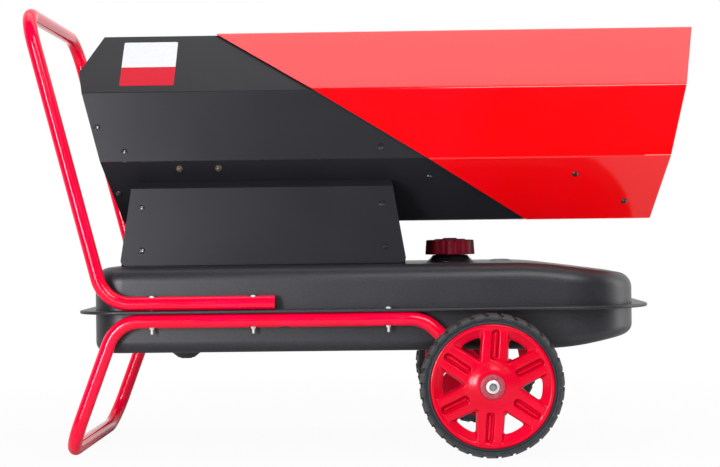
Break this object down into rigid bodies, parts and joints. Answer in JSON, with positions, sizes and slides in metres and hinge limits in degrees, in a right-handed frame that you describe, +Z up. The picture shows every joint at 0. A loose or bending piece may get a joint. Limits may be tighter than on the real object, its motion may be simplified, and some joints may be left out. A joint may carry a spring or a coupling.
{
  "type": "forced air heater",
  "caption": "Oil-fired forced air heater: eight-sided duct, half black and half red, on a control box and fuel tank, carried by a tube frame with a handle, a foot and two wheels.",
  "frame": {"origin": "on the floor under the middle of the outline", "axes": "+X out of the air outlet, +Y to the left side with the controls, +Z up"},
  "size_m": [1.202, 0.636, 0.7971],
  "materials": {
    "tube_red": "gloss enamel on bent steel tube",
    "hood_red": "gloss powder coat on folded sheet",
    "casing_black": "satin powder coat on folded sheet",
    "tank_black": "textured powder coat on pressed steel",
    "rim_red": "semi-matt moulded plastic",
    "tyre_rubber": "moulded block tread",
    "bush_plastic": "moulded plastic",
    "zinc": "bright zinc plate",
    "axle_steel": "drawn steel bar",
    "yellow_zinc": "yellow zinc plate",
    "screw_black": "black oxide",
    "cap_maroon": "moulded plastic",
    "black_plastic": "moulded plastic",
    "seal_rubber": "moulded rubber",
    "strainer_plastic": "moulded mesh",
    "gauge_clear": "clear moulded lens",
    "needle_red": "painted pointer",
    "float_plastic": "foamed float",
    "copper": "drawn copper tube",
    "brass": "turned brass",
    "aluminium_cast": "cast and turned",
    "galvanised": "galvanised sheet",
    "chamber_steel": "heat-proof stainless sheet",
    "ceramic": "glazed ceramic",
    "board_green": "circuit board",
    "transformer_case": "potted case",
    "control_grey": "moulded control plate",
    "lamp_green": "clear green lens",
    "reset_red": "moulded button",
    "label_blank": "blank film plate, pale above and red below"
  },
  "bodies": {
    "heater": {"handle_tube": "tube_red", "chassis_tube": "tube_red", "tube_plugs": "black_plastic", "frame_bolts": "zinc", "frame_nuts": "zinc", "axle": "axle_steel", "axle_washers": "zinc", "tank_upper_shell": "tank_black", "tank_lower_shell": "tank_black", "drain_plug": "screw_black", "filler_neck": "black_plastic", "filler_strainer": "strainer_plastic", "gauge_body": "black_plastic", "gauge_lens": "gauge_clear", "suction_pipe": "brass", "fuel_filter": "strainer_plastic", "fuel_line": "copper", "casing_upper": "casing_black", "casing_lower": "casing_black", "hood_upper": "hood_red", "hood_lower": "hood_red", "label_plate": "label_blank", "panel_screws": "screw_black", "motor_mount_screws": "yellow_zinc", "fan_guard": "casing_black", "fan_shroud": "galvanised", "motor": "aluminium_cast", "motor_bracket": "aluminium_cast", "air_pump": "aluminium_cast", "burner_head": "chamber_steel", "nozzle": "brass", "electrodes": "ceramic", "photocell": "black_plastic", "combustion_chamber": "chamber_steel", "chamber_brackets": "galvanised", "chamber_baffle": "chamber_steel", "box_base": "casing_black", "box_panel_left": "casing_black", "box_panel_right": "casing_black", "control_plate": "control_grey", "indicator_lens": "lamp_green", "cord_gland": "black_plastic", "ignition_transformer": "transformer_case", "control_board": "board_green"},
    "left_wheel": {"wheel_rim_left": "rim_red", "tyre_left": "tyre_rubber", "wheel_bush_left": "bush_plastic"},
    "right_wheel": {"wheel_rim_right": "rim_red", "tyre_right": "tyre_rubber", "wheel_bush_right": "bush_plastic"},
    "rotor": {"fan": "aluminium_cast", "motor_shaft": "axle_steel"},
    "cap_ring": {"cap_seal": "seal_rubber"},
    "cap": {"fuel_cap": "cap_maroon"},
    "float": {"gauge_arm": "axle_steel", "gauge_float": "float_plastic"},
    "needle": {"gauge_needle": "needle_red"},
    "knob": {"thermostat_knob": "black_plastic"},
    "rocker": {"power_rocker": "black_plastic"},
    "reset": {"reset_button": "reset_red"}
  },
  "joints": [
    {"name": "left_wheel_spin", "type": "hinge", "parent": "heater", "child": "left_wheel", "pos_m": [0.218, 0.282, 0.125], "axis": [0, 1, 0], "continuous": true},
    {"name": "right_wheel_spin", "type": "hinge", "parent": "heater", "child": "right_wheel", "pos_m": [0.218, -0.282, 0.125], "axis": [0, 1, 0], "continuous": true},
    {"name": "fan_spin", "type": "hinge", "parent": "heater", "child": "rotor", "pos_m": [-0.4, 0, 0.584], "axis": [1, 0, 0], "continuous": true},
    {"name": "cap_lift", "type": "slide", "parent": "heater", "child": "cap_ring", "axis": [0, 0, 1], "range_m": [0, 0.03]},
    {"name": "cap_turn", "type": "hinge", "parent": "cap_ring", "child": "cap", "pos_m": [0.157, 0, 0.36], "axis": [0, 0, 1], "range_deg": [0, 90]},
    {"name": "float_swing", "type": "hinge", "parent": "heater", "child": "float", "pos_m": [0.251, 0, 0.3], "axis": [1, 0, 0], "range_deg": [0, 58]},
    {"name": "needle_turn", "type": "hinge", "parent": "heater", "child": "needle", "pos_m": [0.251, 0, 0.3358], "axis": [0, 0, 1], "range_deg": [0, 116]},
    {"name": "thermostat_turn", "type": "hinge", "parent": "heater", "child": "knob", "pos_m": [-0.035, 0.183, 0.41], "axis": [0, 1, 0], "range_deg": [0, 270]},
    {"name": "rocker_tilt", "type": "hinge", "parent": "heater", "child": "rocker", "pos_m": [-0.16, 0.182, 0.41], "axis": [1, 0, 0], "range_deg": [0, 16]},
    {"name": "reset_press", "type": "slide", "parent": "heater", "child": "reset", "axis": [0, -1, 0], "range_m": [0, 0.003], "stiffness_N_per_m": 400, "springref_m": -0.001}
  ],
  "couplings": [
    {"joint": "needle_turn", "follows": "float_swing", "ratio": 2}
  ]
}
